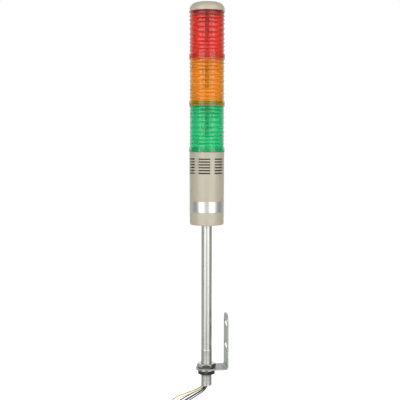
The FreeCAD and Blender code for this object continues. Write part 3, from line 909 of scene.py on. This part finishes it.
class STACKLIGHT_OT_fixings(StackLightOperator):
    """Nuts above and below the bracket's shelf, the washer, and the lock nut in the base"""
    bl_idname = "stacklight.fixings"
    bl_label = "Nuts and washer"

    def execute(self, context):
        plate = nickel_plate("nickel_plated_steel", colours().nut)
        # a darker copy of the nickel plating for the lower nut: painted shade under the bracket
        shaded_plate = nickel_plate("dulled_nickel_plate", colours().lower_nut)
        for node, bore, turn, finish in (("upper_nut", NUT_BORE, FRONT + UPPER_NUT_TURN, plate),
                                         ("lower_nut", NUT_BORE, FRONT, shaded_plate),
                                         ("lock_nut", MAST_RADIUS, FRONT, plate)):
            mesh = nut_mesh(node + "_turned", node, bore, turn)
            flat_faces(add_piece(mesh.name, mesh, finish, stands_for=(node,)))
        dressed("washer_pressed", "flat_washer", plate, 0.2 * MM)
        return {"FINISHED"}


class STACKLIGHT_OT_bracket(StackLightOperator):
    """Folded strap with two level slots for its screws"""
    bl_idname = "stacklight.bracket"
    bl_label = "Bracket"

    def execute(self, context):
        zinc = zinc_plate("zinc_plated_steel", colours().bracket)
        dressed("bracket_strap", "mounting_bracket", zinc, 0.3 * MM, "bracket")
        return {"FINISHED"}


class STACKLIGHT_OT_tie(StackLightOperator):
    """Strap round the coiled leads"""
    bl_idname = "stacklight.tie"
    bl_label = "Tie"

    def execute(self, context):
        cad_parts["wire_tie"].data.materials[0] = moulded_nylon("tie_nylon", linear("26262A"))
        return {"FINISHED"}


# ---- stage ----
EYE_DISTANCE = 1.1                   # from the mast's axis
EYE_HEIGHT = 0.285
VIEW_LENS = 69.09
VIEW_TILT = math.radians(-3.70)
VIEW_SHIFT = -0.03
VIEW_SIDE = 0.0098                   # how far the eye stands left of the mast
VIEW_ROLL = -0.0014                  # radians, as the part leans in the view
FLOOR_HEIGHT = -0.45
FLOOR_REACH = 6                      # from the origin to the floor's edges
PAPER_LIFT = 0.76
SOFT_BOX_POWER = 11.2
BACK_BOX_POWER = 5.0
SOFT_BOX_SIZE = (0.85, 1.9)          # width and height
SOFT_BOX_DISTANCE = 1.25             # from the mast's axis
SOFT_BOX_HEIGHT = 0.15
SOFT_BOX_SPREAD = math.radians(36)   # from the head's front, to both sides
AMBIENT = 0.04                       # plain light from all round
CEILING = 0.55                       # and from straight above
CEILING_REACH = (0.15, 0.95)         # upward part of a direction over which the one becomes the other
# What mirror surfaces see: the middle of a dark band along Y, how far from it the light starts and ends
# to rise, and the levels there. The sky's reach is an upward part, as the ceiling's is.
DARK_FLOOR = (-1.1, (0.4, 1.4), (0.08, 0.8))
DARK_SIDES = (0.1, (0.08, 0.6), (0.12, 0.95))
SKY_REACH, SKY_LEVELS = (0.3, 0.8), (0, 0.85)
WHITE = (1, 1, 1, 1)


def soft_box(name, bearing, power):
    """A tall soft light that faces the mast, at a bearing from the head's front."""
    light = bpy.data.lights.new(name, "AREA")
    light.shape = "RECTANGLE"
    light.size, light.size_y = SOFT_BOX_SIZE
    light.energy = power
    lamp = new_object(name, light)
    side = FRONT + bearing
    lamp.location = (AXIS[0] + SOFT_BOX_DISTANCE * math.cos(side), SOFT_BOX_DISTANCE * math.sin(side),
                     SOFT_BOX_HEIGHT)
    lamp.rotation_euler = (math.pi / 2, 0, side + math.pi / 2)
    return lamp


class STACKLIGHT_OT_stage(StackLightOperator):
    """Pale floor, soft lights, a white room and the camera"""
    bl_idname = "stacklight.stage"
    bl_label = "Stage"

    def execute(self, context):
        scene = context.scene
        scene.view_settings.view_transform = "Standard"
        points = np.array([(-1, -1, 0), (1, -1, 0), (1, 1, 0), (-1, 1, 0)]) * FLOOR_REACH + (0, 0, FLOOR_HEIGHT)
        floor = new_object("floor", filled_mesh("floor", points, np.array([[0, 1, 2, 3]])))
        floor.data.materials.append(paper_floor())
        scene.world = white_world()
        soft_box("left_light", -SOFT_BOX_SPREAD, SOFT_BOX_POWER)
        soft_box("right_light", SOFT_BOX_SPREAD, SOFT_BOX_POWER)
        behind = soft_box("back_light", math.radians(180), BACK_BOX_POWER)
        behind.visible_camera = behind.visible_transmission = behind.visible_glossy = False
        camera = new_object("camera", bpy.data.cameras.new("camera"))
        camera.data.lens = VIEW_LENS
        camera.data.shift_y = VIEW_SHIFT
        camera.location = (AXIS[0] + EYE_DISTANCE * math.cos(FRONT) - VIEW_SIDE * math.cos(FACING),
                           EYE_DISTANCE * math.sin(FRONT) - VIEW_SIDE * math.sin(FACING), EYE_HEIGHT)
        camera.rotation_euler = (math.pi / 2 + VIEW_TILT, VIEW_ROLL, FACING)
        scene.camera = camera
        return {"FINISHED"}


def away_from(tree, vector, middle, reach, levels):
    """A level that rises from the first to the second of levels as Y gets further from the middle."""
    apart = worked_out(tree, "ABSOLUTE", worked_out(tree, "SUBTRACT", along(tree, vector, "Y"), middle))
    return between(tree, apart, levels, reach)


def either(tree, factor, one, other):
    """One shader where the factor is 0, and another where it is 1."""
    return add_node(tree, "ShaderNodeMixShader", {"Fac": factor, 1: one, 2: other}).outputs[0]


def glow(tree, kind, strength):
    """White light from an Emission or a Background node."""
    return add_node(tree, "ShaderNode" + kind, {"Color": WHITE, "Strength": strength}).outputs[0]


def paper_floor():
    """Seamless white paper: matte, its colour lifted to the backdrop's white where it is seen. In mirror
    surfaces it is dark over a strip in front of the part, where a studio's floor is unlit."""
    material = bpy.data.materials.new("seamless_paper")
    tree = empty_tree(material)
    path = add_node(tree, "ShaderNodeLightPath").outputs
    place = add_node(tree, "ShaderNodeTexCoord").outputs["Object"]
    seen = worked_out(tree, "MAXIMUM", path["Is Camera Ray"], path["Is Transmission Ray"])
    paper = add_node(tree, "ShaderNodeBsdfDiffuse", {"Color": linear("F4F4F3")}).outputs[0]
    lift = glow(tree, "Emission", between(tree, seen, (0, PAPER_LIFT)))
    lifted = add_node(tree, "ShaderNodeAddShader", {0: paper, 1: lift}).outputs[0]
    mirrored = glow(tree, "Emission", away_from(tree, place, *DARK_FLOOR))
    mixed = either(tree, path["Is Glossy Ray"], lifted, mirrored)
    add_node(tree, "ShaderNodeOutputMaterial", {"Surface": mixed})
    return material


def white_world():
    """A white backdrop where it is seen, a room that is dark at its sides in mirror surfaces, and for the
    rest a faint plain light that grows towards a bright ceiling."""
    world = bpy.data.worlds.new("studio")
    tree = empty_tree(world)
    path = add_node(tree, "ShaderNodeLightPath").outputs
    direction = add_node(tree, "ShaderNodeTexCoord").outputs["Generated"]
    upward = along(tree, direction, "Z")
    light = glow(tree, "Background", between(tree, upward, (AMBIENT, CEILING), CEILING_REACH))
    sky = between(tree, upward, SKY_LEVELS, SKY_REACH)
    room = glow(tree, "Background", worked_out(tree, "MAXIMUM", away_from(tree, direction, *DARK_SIDES), sky))
    seen = worked_out(tree, "MAXIMUM", path["Is Camera Ray"], path["Is Transmission Ray"])
    mixed = either(tree, path["Is Glossy Ray"], light, room)
    mixed = either(tree, seen, mixed, glow(tree, "Background", 1.0))
    add_node(tree, "ShaderNodeOutputWorld", {"Surface": mixed})
    return world


class STACKLIGHT_PT_panel(bpy.types.Panel):
    bl_label = "Stack Light"
    bl_idname = "STACKLIGHT_PT_panel"
    bl_space_type = "VIEW_3D"
    bl_region_type = "UI"
    bl_category = "Stack Light"

    def draw(self, context):
        for group in (context.scene.stack_light_sizes, context.scene.stack_light_colours):
            box = self.layout.box()
            for name in type(group).__annotations__:
                box.prop(group, name)
        for operator in OPERATORS:
            self.layout.operator(operator.bl_idname)


GROUPS = (StackLightSizes, StackLightColours)
OPERATORS = (STACKLIGHT_OT_stage, STACKLIGHT_OT_leads, STACKLIGHT_OT_tie, STACKLIGHT_OT_mast,
             STACKLIGHT_OT_fixings, STACKLIGHT_OT_bracket, STACKLIGHT_OT_housings, STACKLIGHT_OT_label,
             STACKLIGHT_OT_buzzer, STACKLIGHT_OT_lamps, STACKLIGHT_OT_lenses, STACKLIGHT_OT_cap)


def register():
    for made in (*GROUPS, *OPERATORS, STACKLIGHT_PT_panel):
        bpy.utils.register_class(made)
    bpy.types.Scene.stack_light_sizes = bpy.props.PointerProperty(type=StackLightSizes)
    bpy.types.Scene.stack_light_colours = bpy.props.PointerProperty(type=StackLightColours)


def unregister():
    del bpy.types.Scene.stack_light_colours
    del bpy.types.Scene.stack_light_sizes
    for made in (STACKLIGHT_PT_panel, *reversed(OPERATORS), *reversed(GROUPS)):
        bpy.utils.unregister_class(made)


def main():
    register()
    for operator in OPERATORS:
        group, name = operator.bl_idname.split(".")
        getattr(getattr(bpy.ops, group), name)()


if __name__ == "__main__":
    main()
